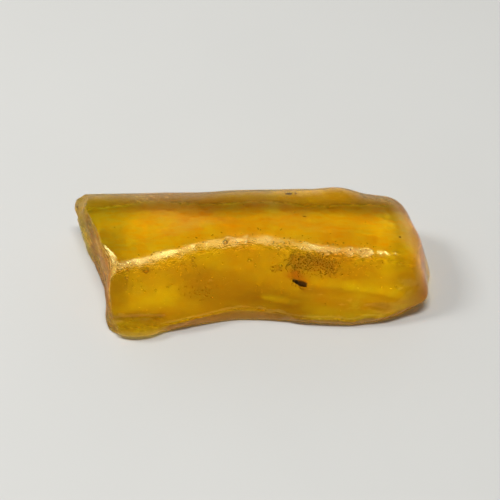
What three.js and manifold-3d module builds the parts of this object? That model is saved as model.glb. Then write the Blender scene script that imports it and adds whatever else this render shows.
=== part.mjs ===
// Raw copal: one lump of clear golden tree resin with a small insect sealed in it.
// Millimetres, +Z up. X runs along the lump, and its steep front slope faces -Y.
// The origin is on the flat underside, below the middle of the lump's bounding box.
// The lump is parted level through the insect, so that the insect has a pocket to sit in.

import * as THREE from "three";
import { mergeVertices } from "three/addons/utils/BufferGeometryUtils.js";
import Module from "manifold-3d";

const wasm = await Module();
wasm.setup();

// The edges that run along the lump, from its left end to its right end: [x, y, z].
// The arris is the sharp lower front edge, and the flank under it goes down to the front foot.
const FRONT_FOOT = [
  [-36, -12.0, 0], [-26, -12.4, 0], [-17.5, -12.2, 0], [-14, -11.0, 0], [-8, -10.1, 0],
  [-2, -9.2, 0], [6, -9.3, 0], [14, -10.2, 0], [20, -10.3, 0], [26, -9.1, 0], [31, -6.9, 0],
  [36, -2.5, 0],
];
const ARRIS = [
  [-36, -12.4, 4.8], [-26, -12.6, 4.4], [-18, -12.4, 2.2], [-11, -11.2, 2.8], [-5, -9.7, 3.4],
  [-2, -9.2, 3.5], [4, -9.4, 2.5], [10, -10.3, 1.7], [16, -10.8, 2.0], [19.8, -10.9, 1.5],
  [22.6, -10.5, 2.2], [25.3, -10.3, 1.9], [28.5, -9.4, 2.5], [31.5, -8.3, 3.0], [36, -7.2, 3.2],
];
const CREST = [
  [-36, -8.2, 13.8], [-27, -7.6, 14.3], [-18, -5.2, 14.9], [-9, -1.8, 15.2], [0, -0.9, 15.2],
  [9, -2.4, 15.0], [18, -3.6, 14.6], [27, -4.2, 13.6], [36, -4.4, 12.0],
];
const SHOULDER = [
  [-36, 14.8, 13.6], [-26, 14.7, 14.0], [-12, 14.9, 14.3], [0, 15.4, 14.9],
  [12, 15.2, 14.8], [22, 15.1, 14.3], [30, 14.7, 13.4], [36, 14.0, 12.3],
];
const BACK = [
  [-36, 16.4, 7.4], [-20, 16.5, 7.6], [0, 16.8, 7.8], [20, 16.8, 7.4], [36, 16.0, 7.0],
];
const BACK_FOOT = [
  [-36, 16.2, 0], [-20, 16.2, 0], [0, 16.4, 0], [20, 16.4, 0], [36, 15.6, 0],
];

// The broken ends, from front to back: [y, x at the underside, x at the top].
const LEFT_END = [
  [-14, -27.3, -26.6], [-10, -29.2, -27.6], [-5, -29.5, -28.2], [-1, -30.3, -30.0],
  [3, -31.6, -31.4], [8, -33.7, -33.8], [12, -35.2, -35.9], [17, -36.9, -38.2],
];
const RIGHT_END = [
  [-11, 35.0, 29.0], [-7.5, 37.1, 31.8], [-4.5, 36.7, 32.2], [-1, 36.3, 32.4],
  [4, 36.6, 32.7], [9, 35.4, 31.2], [13, 33.7, 30.5], [17, 30.6, 28.2],
];
const TOP_Z = 14;
const END_STEEPNESS = 0.92; // a step along X beyond an end is about this far outside it

// How softly each edge is rounded.
const ARRIS_ROUND = 0.4;
const CREST_ROUND = 4.2;
const SHOULDER_ROUND = 5.0;
const BACK_ROUND = 4.0;
const LEFT_ROUND = 1.2;
const RIGHT_ROUND = 3.6;
const FOOT_ROUND = 1.3;
const FOOT_Z = -0.3; // the underside before it is cut flat at zero

// Swellings and hollows, as egg shapes: the middle, the radii, and how softly they blend in.
const SWELLINGS = [
  { at: [-22.9, -10.1, 1.8], size: [6.5, 4.2, 2.7], round: 0.4 }, // the foot at the front left
  { at: [17.5, 12.7, 12.0], size: [4.5, 2.6, 2.2], round: 1.2 }, // the bump on the back shoulder
  { at: [-19, 12.7, 6.2], size: [11, 3.8, 5.0], round: 3 }, // the back's left part
];
const HOLLOWS = [
  { at: [-3.5, -20.5, 11.5], size: [16, 14.2, 11], round: 2.5 }, // the dip in the front slope
  { at: [-44.1, 13.6, 18.8], size: [12.2, 12.2, 12.2], round: 0.3 }, // the chip off the left corner
  { at: [-43.8, 24.6, 8], size: [12, 12, 40], round: 0.8 }, // the same corner, blunt all the way down
  { at: [9, 26, 8], size: [15, 10.2, 8], round: 3 }, // the scoop in the back
];

// The flow ridge on the front slope: its line in x and z, and how far it spreads up and down.
const FLOW_RIDGE = { from: [12.7, 8.4], to: [29.7, 5.0], height: 0.2, above: 2.2, below: 2.2 };
const UNEVEN = 0.22; // the gentle unevenness of the whole surface

// The mesh: rings along the lump, which follow its ends, and caps of smaller rings.
const SPINE_Y = 2.0;
const SPINE_Z = 7.2;
const HALF_WIDTH = 13; // of the ellipse whose rays spread the sides evenly
const HALF_HEIGHT = 7.2;
const SIDES = 46;
const BODY_RINGS = 40;
const LEFT_MARGIN = 0.5; // between an end and the last ring of the body
const RIGHT_MARGIN = 1.6;
const CAP_STEPS = [0.94, 0.82, 0.66, 0.48, 0.26];
const REACH = 3; // as a multiple of the ellipse, beyond any surface
const HALVINGS = 40; // steps of the search for the surface

// The insect: a dark body of three parts with folded wings, lying aslant under the front slope.
const PART_Z = 6.5;
const INSECT_AT = [9.6, -4.4, PART_Z];
const INSECT_TURN = THREE.MathUtils.degToRad(-34); // its head points to the left and back
const HEAD = { x: -1.35, size: [0.42, 0.36, 0.34] };
const THORAX = { x: -0.62, size: [0.62, 0.48, 0.46] };
const ABDOMEN = { x: 0.62, size: [1.1, 0.56, 0.5] };
const WINGS = { x: 0.8, z: 0.4, size: [1.3, 0.6, 0.16] };
const POCKET = { x: 0.15, z: 0.05, size: [2.5, 1.02, 0.95] };

// A smooth value at a place along stations that hold the place first and the value at index k.
function along(stations, place, k) {
  const last = stations.length - 1;
  let i = 0;
  while (i < last - 1 && place > stations[i + 1][0]) i++;
  const slopeAt = (j) => {
    const before = stations[Math.max(j - 1, 0)];
    const after = stations[Math.min(j + 1, last)];
    return (after[k] - before[k]) / (after[0] - before[0]);
  };
  const [start, end] = [stations[i], stations[i + 1]];
  const span = end[0] - start[0];
  const t = THREE.MathUtils.clamp((place - start[0]) / span, 0, 1);
  return (
    start[k] * (2 * t ** 3 - 3 * t ** 2 + 1) +
    slopeAt(i) * span * (t ** 3 - 2 * t ** 2 + t) +
    end[k] * (3 * t ** 2 - 2 * t ** 3) +
    slopeAt(i + 1) * span * (t ** 3 - t ** 2)
  );
}

// The larger of two distances, rounded off where they are about equal.
function smoothMax(a, b, round) {
  const near = Math.max(round - Math.abs(a - b), 0) / round;
  return Math.max(a, b) + (near * near * round) / 4;
}

// How far a point lies outside the plane through two edges, at the point's own x.
function outsideEdges(lower, upper, [x, y, z]) {
  const [y0, z0] = [along(lower, x, 1), along(lower, x, 2)];
  const [y1, z1] = [along(upper, x, 1), along(upper, x, 2)];
  return ((z - z0) * (y1 - y0) - (y - y0) * (z1 - z0)) / Math.hypot(y1 - y0, z1 - z0);
}

// Where an end stands in x, at a place across it.
function endX(end, y, z) {
  return THREE.MathUtils.lerp(along(end, y, 1), along(end, y, 2), z / TOP_Z);
}

// How far the flow ridge stands out of the front slope.
function ridgeHeight(x, z) {
  const { from, to, height, above, below } = FLOW_RIDGE;
  const t = (x - from[0]) / (to[0] - from[0]);
  const up = z - THREE.MathUtils.lerp(from[1], to[1], t);
  const spread = up > 0 ? above : below;
  return height * THREE.MathUtils.smoothstep(t, -0.3, 0.3) * Math.exp(-((up / spread) ** 2));
}

// Slow waves that keep every face from being quite flat.
function unevenness([x, y, z]) {
  return UNEVEN * Math.sin(x / 4.7 + y / 9 + 0.6) * Math.sin(y / 5.3 - z / 3.9 + x / 17 + 1.1);
}

// About how far a point lies outside an egg shape.
function outsideEgg(egg, point) {
  const scaled = point.map((value, i) => (value - egg.at[i]) / egg.size[i]);
  return (Math.hypot(...scaled) - 1) * Math.min(...egg.size);
}

// The lump's form: negative inside, zero on its surface.
function outsideLump(point) {
  const [x, y, z] = point;
  let f = outsideEdges(FRONT_FOOT, ARRIS, point);
  f = smoothMax(f, outsideEdges(ARRIS, CREST, point) - ridgeHeight(x, z), ARRIS_ROUND);
  f = smoothMax(f, outsideEdges(CREST, SHOULDER, point), CREST_ROUND);
  f = smoothMax(f, outsideEdges(SHOULDER, BACK, point), SHOULDER_ROUND);
  f = smoothMax(f, outsideEdges(BACK, BACK_FOOT, point), BACK_ROUND);
  for (const egg of SWELLINGS) f = -smoothMax(-f, -outsideEgg(egg, point), egg.round);
  for (const egg of HOLLOWS) f = smoothMax(f, -outsideEgg(egg, point), egg.round);
  f += unevenness(point);
  f = smoothMax(f, (endX(LEFT_END, y, z) - x) * END_STEEPNESS, LEFT_ROUND);
  f = smoothMax(f, (x - endX(RIGHT_END, y, z)) * END_STEEPNESS, RIGHT_ROUND);
  return smoothMax(f, FOOT_Z - z, FOOT_ROUND);
}

// The point where a path, given by a number from inside to outside, leaves the lump.
function surfacePoint(path, inside, outside) {
  for (let i = 0; i < HALVINGS; i++) {
    const middle = (inside + outside) / 2;
    if (outsideLump(path(middle)) < 0) inside = middle;
    else outside = middle;
  }
  return new THREE.Vector3(...path(inside));
}

// A ring's x at a place across it: each ring has the shape of the ends, blended.
function ringX(t, y, z) {
  const left = endX(LEFT_END, y, z) + LEFT_MARGIN;
  const right = endX(RIGHT_END, y, z) - RIGHT_MARGIN;
  return THREE.MathUtils.lerp(left, right, t);
}

// One ring round the body, at t from 0 at the left end to 1 at the right end.
function bodyRing(t) {
  const points = [];
  for (let j = 0; j < SIDES; j++) {
    const angle = (2 * Math.PI * j) / SIDES;
    const [wide, high] = [HALF_WIDTH * Math.cos(angle), HALF_HEIGHT * Math.sin(angle)];
    const path = (s) => {
      const [y, z] = [SPINE_Y + s * wide, SPINE_Z + s * high];
      return [ringX(t, y, z), y, z];
    };
    points.push(surfacePoint(path, 0, REACH));
  }
  return points;
}

// A point on an end's face, a share of the way out from the spine to a ring's point.
function capPoint(point, share, t) {
  const y = THREE.MathUtils.lerp(SPINE_Y, point.y, share);
  const z = THREE.MathUtils.lerp(SPINE_Z, point.z, share);
  const outward = t ? 1 : -1;
  return surfacePoint((s) => [ringX(t, y, z) + s * outward, y, z], 0, HALF_WIDTH);
}

// The whole lump as one closed mesh.
function lumpGeometry() {
  const body = [];
  for (let i = 0; i <= BODY_RINGS; i++) body.push(bodyRing(i / BODY_RINGS));
  const capRings = (t) => {
    const edge = body[t * BODY_RINGS];
    return CAP_STEPS.map((share) => edge.map((point) => capPoint(point, share, t)));
  };
  const rings = [...capRings(0).reverse(), ...body, ...capRings(1)];
  const points = rings.flat();
  const leftPole = points.push(capPoint(points[0], 0, 0)) - 1;
  const rightPole = points.push(capPoint(points[0], 0, 1)) - 1;
  const faces = [];
  const lastRing = (rings.length - 1) * SIDES;
  for (let j = 0; j < SIDES; j++) {
    const next = (j + 1) % SIDES;
    faces.push(leftPole, next, j);
    for (let i = 0; i < rings.length - 1; i++) {
      const [a, b] = [i * SIDES + j, i * SIDES + next];
      faces.push(a, b, b + SIDES, a, b + SIDES, a + SIDES);
    }
    faces.push(rightPole, lastRing + j, lastRing + next);
  }
  return new THREE.BufferGeometry().setFromPoints(points).setIndex(faces);
}

// A closed three.js geometry as a solid that can be cut and joined.
function toSolid(geometry) {
  const bare = geometry.clone();
  bare.deleteAttribute("normal");
  bare.deleteAttribute("uv");
  const merged = mergeVertices(bare, 1e-4);
  const mesh = new wasm.Mesh({
    numProp: 3,
    vertProperties: merged.attributes.position.array,
    triVerts: new Uint32Array(merged.index.array),
  });
  return new wasm.Manifold(mesh);
}

// A solid back as a three.js geometry.
function toGeometry(solid) {
  const { vertProperties, triVerts } = solid.getMesh();
  const geometry = new THREE.BufferGeometry();
  geometry.setAttribute("position", new THREE.BufferAttribute(vertProperties, 3));
  geometry.setIndex(new THREE.BufferAttribute(triVerts, 1));
  geometry.computeVertexNormals();
  return geometry;
}

// An egg-shaped solid, placed in the insect's frame.
function eggSolid({ x, z = 0, size }, widthSegments, heightSegments) {
  const egg = new THREE.SphereGeometry(1, widthSegments, heightSegments);
  egg.rotateZ(Math.PI / 2);
  egg.scale(...size);
  egg.translate(x, 0, z);
  egg.rotateZ(INSECT_TURN);
  egg.translate(...INSECT_AT);
  return toSolid(egg);
}

// The insect's body and folded wings, joined in one solid.
function insectSolid() {
  return eggSolid(ABDOMEN, 14, 12)
    .add(eggSolid(THORAX, 12, 10))
    .add(eggSolid(HEAD, 10, 8))
    .add(eggSolid(WINGS, 14, 8));
}

// A block that holds everything between two heights.
function slab(low, high) {
  const box = new THREE.BoxGeometry(120, 80, high - low);
  box.translate(0, 0, (low + high) / 2);
  return toSolid(box);
}

// A named mesh of one solid.
function piece(name, solid, material) {
  const mesh = new THREE.Mesh(toGeometry(solid), material);
  mesh.name = name;
  return mesh;
}

const copalMaterial = new THREE.MeshStandardMaterial({
  color: 0xcf9b0e,
  roughness: 0.12,
  metalness: 0,
  transparent: true,
  opacity: 0.72,
});
const insectMaterial = new THREE.MeshStandardMaterial({
  color: 0x2a1408,
  roughness: 0.35,
  metalness: 0,
});

const lump = toSolid(lumpGeometry()).subtract(eggSolid(POCKET, 20, 14));
const pieces = [
  piece("copal_lower_half", lump.intersect(slab(0, PART_Z)), copalMaterial),
  piece("copal_upper_half", lump.intersect(slab(PART_Z, 2 * TOP_Z)), copalMaterial),
  piece("insect", insectSolid(), insectMaterial),
];

// The stations are measured from the middle of the photographed view, so the lump moves a little.
const bounds = new THREE.Box3();
for (const mesh of pieces) bounds.expandByObject(mesh);
const middle = bounds.getCenter(new THREE.Vector3());
for (const mesh of pieces) mesh.geometry.translate(-middle.x, -middle.y, 0);

const copal = new THREE.Group();
copal.add(...pieces);

export default copal;
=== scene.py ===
"""Raw copal: a lump of clear golden tree resin with a small insect sealed in it.

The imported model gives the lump's box. This script builds the clear lump as one fine mesh, with
its bubbles and small cracks as hollows, puts the insect and the dark plant dust in it, and sets
up a plain floor, soft light and the camera. Lengths are in millimetres until a mesh is made,
because the forms are drawn in them.
"""

import itertools
import logging
import math
from collections.abc import Callable
from dataclasses import dataclass, field
from enum import Enum, IntEnum

import bpy
import numpy as np
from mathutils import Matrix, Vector


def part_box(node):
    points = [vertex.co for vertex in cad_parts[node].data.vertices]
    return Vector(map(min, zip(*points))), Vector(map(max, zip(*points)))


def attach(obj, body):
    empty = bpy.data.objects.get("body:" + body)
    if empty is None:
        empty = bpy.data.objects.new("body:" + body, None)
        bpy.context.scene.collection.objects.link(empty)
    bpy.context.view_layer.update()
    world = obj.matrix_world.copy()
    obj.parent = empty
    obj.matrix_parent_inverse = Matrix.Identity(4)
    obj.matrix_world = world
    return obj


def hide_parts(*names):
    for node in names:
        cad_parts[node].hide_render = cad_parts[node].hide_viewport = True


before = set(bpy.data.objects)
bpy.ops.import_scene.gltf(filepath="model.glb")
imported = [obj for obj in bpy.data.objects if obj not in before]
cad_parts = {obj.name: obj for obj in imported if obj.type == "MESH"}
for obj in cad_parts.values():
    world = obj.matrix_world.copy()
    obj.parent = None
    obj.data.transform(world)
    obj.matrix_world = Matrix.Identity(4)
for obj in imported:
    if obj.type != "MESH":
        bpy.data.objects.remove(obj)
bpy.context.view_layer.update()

log = logging.getLogger("copal")
MM = 0.001
BODY = "root"
TINT = "tint"
WEAR = "wear"
Pair = tuple[float, float]
Point = tuple[float, float, float]
Tint = tuple[float, float, float]
Colour = tuple[float, float, float, float]
Faces = list[tuple[int, ...]]
Shape = tuple[np.ndarray, Faces]
Socket = bpy.types.NodeSocket
Socketable = Socket | float | tuple


class Slot(Enum):
    """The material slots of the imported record."""

    COPAL = "copal"
    INSECT = "insect"


class Seed(IntEnum):
    """Which pattern of random numbers each kind of unevenness has."""

    RIPPLE = 3
    FINE_RIPPLE = 4
    GRAIN = 5
    RIBS = 6
    PITS = 11
    CHIPS = 21
    LIP = 23
    SHIFT = 31
    FINE_SHIFT = 41
    CLOUD = 51
    FINE_CLOUD = 52
    END_LINES = 53
    WORN_PATCHES = 61
    GLITTER = 62


def smooth_max(a: np.ndarray, b: np.ndarray, rounding: float) -> np.ndarray:
    """The larger of two distances, rounded off where they are about equal.

    Args:
        a: distances outside one face.
        b: distances outside the other face.
        rounding: how near the two must be for the rounding to start.

    Returns:
        The joined distances.
    """
    near = np.maximum(rounding - np.abs(a - b), 0) / rounding
    return np.maximum(a, b) + near * near * rounding / 4


def ease(value: np.ndarray) -> np.ndarray:
    """A value from 0 to 1, cut off beyond them and eased at both."""
    held = np.clip(value, 0, 1)
    return held * held * (3 - 2 * held)


def left_break(normals: np.ndarray) -> np.ndarray:
    """How much each point belongs to the broken left end, by the way it faces."""
    return ease((-normals[:, 0] - 0.3) / 0.4)


def even_turns(sides: int) -> np.ndarray:
    """The angles of points spread evenly round a ring."""
    return np.arange(sides) * 2 * math.pi / sides


def stitched(rings: int, sides: int) -> Faces:
    """The faces over rings of points, closed by a pole before the first and one after the last.

    Args:
        rings: how many rings there are. The two poles come after all rings among the points.
        sides: how many points a ring has.

    Returns:
        The faces as point numbers, facing outwards.
    """
    last = (rings - 1) * sides
    first_pole, last_pole = last + sides, last + sides + 1
    faces: Faces = []
    for j in range(sides):
        after = (j + 1) % sides
        faces += [(first_pole, after, j), (last_pole, last + j, last + after)]
        for k in range(0, last, sides):
            faces.append((k + j, k + after, k + sides + after, k + sides + j))
    return faces


def smooth_noise(points: np.ndarray, size: float, seed: int) -> np.ndarray:
    """Soft random waves, the same on every run.

    Args:
        points: places, one a row.
        size: the width of a wave.
        seed: which of the many patterns.

    Returns:
        Values from -1 to 1, one a point.
    """
    cell = points / size
    base = np.floor(cell).astype(np.int64)
    part = ease(cell - base)
    total = np.zeros(len(points))
    for corner in itertools.product((0, 1), repeat=3):
        spot = base + corner
        weight = np.prod(np.where(corner, part, 1 - part), axis=1)
        total += weight * (2 * hash_unit(spot, seed) - 1)
    return total


def hash_unit(cells: np.ndarray, seed: int) -> np.ndarray:
    """A repeatable number from 0 to 1 for each whole-number cell.

    Args:
        cells: whole numbers, one cell a row.
        seed: which of the many patterns.

    Returns:
        One number a cell.
    """
    mixed = cells[:, 0] * 73856093 ^ cells[:, 1] * 19349663 ^ cells[:, 2] * 83492791
    mixed = (mixed ^ (seed * 40503)) & 0xFFFFFFFF
    mixed = ((mixed ^ (mixed >> 15)) * 2246822519) & 0xFFFFFFFF
    mixed = ((mixed ^ (mixed >> 13)) * 3266489917) & 0xFFFFFFFF
    return ((mixed ^ (mixed >> 16)) & 0xFFFFFF) / 0xFFFFFF


def nearest_seed(points: np.ndarray, size: float, seed: int) -> tuple[np.ndarray, np.ndarray]:
    """How far each point is from the nearest of many scattered seeds, one to a cell.

    Args:
        points: places, one a row.
        size: the width of a cell.
        seed: which of the many patterns.

    Returns:
        The distances, and a repeatable number from 0 to 1 for each point's seed.
    """
    cell = points / size
    base = np.floor(cell).astype(np.int64)
    best = np.full(len(points), np.inf)
    chance = np.zeros(len(points))
    for step in itertools.product((-1, 0, 1), repeat=3):
        spot = base + step
        place = spot + np.stack([hash_unit(spot, seed + k) for k in (1, 2, 3)], axis=1)
        distance = np.linalg.norm(place - cell, axis=1) * size
        closer = distance < best
        best[closer] = distance[closer]
        chance[closer] = hash_unit(spot, seed + 4)[closer]
    return best, chance


@dataclass(frozen=True)
class Stations:
    """A smooth line through a few places: each row holds the place first, then its values."""

    rows: tuple[tuple[float, ...], ...]

    def at(self, place: np.ndarray, column: int) -> np.ndarray:
        """The line's value at each place.

        Args:
            place: where along the line.
            column: which of the row's values.

        Returns:
            One value a place. It stays the same beyond the line's ends.
        """
        table = np.array(self.rows)
        x, y = table[:, 0], table[:, column]
        slope = np.empty(len(x))
        slope[1:-1] = (y[2:] - y[:-2]) / (x[2:] - x[:-2])
        slope[0] = (y[1] - y[0]) / (x[1] - x[0])
        slope[-1] = (y[-1] - y[-2]) / (x[-1] - x[-2])
        i = np.clip(np.searchsorted(x, place, side="left") - 1, 0, len(x) - 2)
        span = x[i + 1] - x[i]
        t = np.clip((place - x[i]) / span, 0, 1)
        start = y[i] * (2 * t**3 - 3 * t**2 + 1) + slope[i] * span * (t**3 - 2 * t**2 + t)
        return start + y[i + 1] * (3 * t**2 - 2 * t**3) + slope[i + 1] * span * (t**3 - t**2)


@dataclass(frozen=True)
class Egg:
    """An egg shape that swells out of the lump, or that a hollow is cut to."""

    at: Point
    size: Point
    rounding: float

    def outside(self, points: np.ndarray) -> np.ndarray:
        """About how far each point lies outside the egg."""
        scaled = (points - self.at) / self.size
        return (np.linalg.norm(scaled, axis=1) - 1) * min(self.size)


@dataclass(frozen=True)
class FlowRidge:
    """The ridge on the front slope: its line in x and z, and how far it spreads up and down."""

    start: Pair = (12.7, 8.4)
    end: Pair = (29.7, 5.0)
    height: float = 0.2
    above: float = 2.2
    below: float = 2.2
    fade: float = 0.3

    def height_at(self, x: np.ndarray, z: np.ndarray) -> np.ndarray:
        """How far the ridge stands out of the slope. It fades in at its start.

        Args:
            x: where along the lump, one number a place.
            z: how high up, one number a place.

        Returns:
            One height a place.
        """
        t = (x - self.start[0]) / (self.end[0] - self.start[0])
        up = z - (self.start[1] + (self.end[1] - self.start[1]) * t)
        begun = ease((t + self.fade) / (2 * self.fade))
        return self.height * begun * np.exp(-((up / np.where(up > 0, self.above, self.below)) ** 2))


@dataclass(frozen=True)
class LumpForm:
    """The lump's form, as the solids have it: edge lines, broken ends, swellings and hollows."""

    front_foot: Stations = Stations((
        (-36, -12.0, 0), (-26, -12.4, 0), (-17.5, -12.2, 0), (-14, -11.0, 0), (-8, -10.1, 0),
        (-2, -9.2, 0), (6, -9.3, 0), (14, -10.2, 0), (20, -10.3, 0), (26, -9.1, 0),
        (31, -6.9, 0), (36, -2.5, 0),
    ))
    arris: Stations = Stations((
        (-36, -12.4, 4.8), (-26, -12.6, 4.4), (-18, -12.4, 2.2), (-11, -11.2, 2.8),
        (-5, -9.7, 3.4), (-2, -9.2, 3.5), (4, -9.4, 2.5), (10, -10.3, 1.7), (16, -10.8, 2.0),
        (19.8, -10.9, 1.5), (22.6, -10.5, 2.2), (25.3, -10.3, 1.9), (28.5, -9.4, 2.5),
        (31.5, -8.3, 3.0), (36, -7.2, 3.2),
    ))
    crest: Stations = Stations((
        (-36, -8.2, 13.8), (-27, -7.6, 14.3), (-18, -5.2, 14.9), (-9, -1.8, 15.2),
        (0, -0.9, 15.2), (9, -2.4, 15.0), (18, -3.6, 14.6), (27, -4.2, 13.6), (36, -4.4, 12.0),
    ))
    shoulder: Stations = Stations((
        (-36, 14.8, 13.6), (-26, 14.7, 14.0), (-12, 14.9, 14.3), (0, 15.4, 14.9),
        (12, 15.2, 14.8), (22, 15.1, 14.3), (30, 14.7, 13.4), (36, 14.0, 12.3),
    ))
    back: Stations = Stations((
        (-36, 16.4, 7.4), (-20, 16.5, 7.6), (0, 16.8, 7.8), (20, 16.8, 7.4), (36, 16.0, 7.0),
    ))
    back_foot: Stations = Stations((
        (-36, 16.2, 0), (-20, 16.2, 0), (0, 16.4, 0), (20, 16.4, 0), (36, 15.6, 0),
    ))
    left_end: Stations = Stations((
        (-14, -27.3, -26.6), (-10, -29.2, -27.6), (-5, -29.5, -28.2), (-1, -30.3, -30.0),
        (3, -31.6, -31.4), (8, -33.7, -33.8), (12, -35.2, -35.9), (17, -36.9, -38.2),
    ))
    right_end: Stations = Stations((
        (-11, 35.0, 29.0), (-7.5, 37.1, 31.8), (-4.5, 36.7, 32.2), (-1, 36.3, 32.4),
        (4, 36.6, 32.7), (9, 35.4, 31.2), (13, 33.7, 30.5), (17, 30.6, 28.2),
    ))
    top_z: float = 14
    end_steepness: float = 0.92
    arris_round: float = 0.4
    crest_round: float = 4.2
    shoulder_round: float = 5.0
    back_round: float = 4.0
    left_round: float = 1.2
    right_round: float = 3.6
    foot_round: float = 1.3
    foot_z: float = -0.3
    uneven: float = 0.22
    ridge: FlowRidge = FlowRidge()
    swellings: tuple[Egg, ...] = (
        Egg((-22.9, -10.1, 1.8), (6.5, 4.2, 2.7), 0.4),
        Egg((17.5, 12.7, 12.0), (4.5, 2.6, 2.2), 1.2),
        Egg((-19, 12.7, 6.2), (11, 3.8, 5.0), 3),
    )
    hollows: tuple[Egg, ...] = (
        Egg((-3.5, -20.5, 11.5), (16, 14.2, 11), 2.5),
        Egg((-44.1, 13.6, 18.8), (12.2, 12.2, 12.2), 0.3),
        Egg((-43.8, 24.6, 8), (12, 12, 40), 0.8),
        Egg((9, 26, 8), (15, 10.2, 8), 3),
    )

    def end_x(self, end: Stations, y: np.ndarray, z: np.ndarray) -> np.ndarray:
        """Where an end stands in x, at each place across it."""
        low, high = end.at(y, 1), end.at(y, 2)
        return low + (high - low) * z / self.top_z

    def between(self, lower: Stations, upper: Stations, points: np.ndarray) -> np.ndarray:
        """How far each point lies outside the face between two edge lines.

        Args:
            lower: the face's first edge, going round the lump from the front foot.
            upper: its second edge.
            points: places, one a row.

        Returns:
            One distance a point, less than zero inside.
        """
        x, y, z = points.T
        y0, z0, y1, z1 = lower.at(x, 1), lower.at(x, 2), upper.at(x, 1), upper.at(x, 2)
        return ((z - z0) * (y1 - y0) - (y - y0) * (z1 - z0)) / np.hypot(y1 - y0, z1 - z0)

    def outside(self, points: np.ndarray) -> np.ndarray:
        """About how far each point lies outside the lump.

        Args:
            points: places, one a row.

        Returns:
            One distance a point, less than zero inside.
        """
        x, y, z = points.T
        front = self.between(self.arris, self.crest, points) - self.ridge.height_at(x, z)
        f = smooth_max(self.between(self.front_foot, self.arris, points), front, self.arris_round)
        f = smooth_max(f, self.between(self.crest, self.shoulder, points), self.crest_round)
        f = smooth_max(f, self.between(self.shoulder, self.back, points), self.shoulder_round)
        f = smooth_max(f, self.between(self.back, self.back_foot, points), self.back_round)
        for egg in self.swellings:
            f = -smooth_max(-f, -egg.outside(points), egg.rounding)
        for egg in self.hollows:
            f = smooth_max(f, -egg.outside(points), egg.rounding)
        # Slow waves, the same as the solids have, keep every face from being quite flat.
        waves = np.sin(x / 4.7 + y / 9 + 0.6) * np.sin(y / 5.3 - z / 3.9 + x / 17 + 1.1)
        f = f + self.uneven * waves
        left = (self.end_x(self.left_end, y, z) - x) * self.end_steepness
        right = (x - self.end_x(self.right_end, y, z)) * self.end_steepness
        f = smooth_max(smooth_max(f, left, self.left_round), right, self.right_round)
        f = smooth_max(f, self.foot_z - z, self.foot_round)
        return np.maximum(f, -z)

    def normals(self, points: np.ndarray) -> np.ndarray:
        """The way the surface faces.

        Args:
            points: places on the surface, one a row.

        Returns:
            One direction a point, of length 1.
        """
        step = 0.02
        slopes = [
            self.outside(points + step * axis) - self.outside(points - step * axis)
            for axis in np.eye(3)
        ]
        grown = np.stack(slopes, axis=1)
        return grown / np.linalg.norm(grown, axis=1, keepdims=True)


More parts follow.
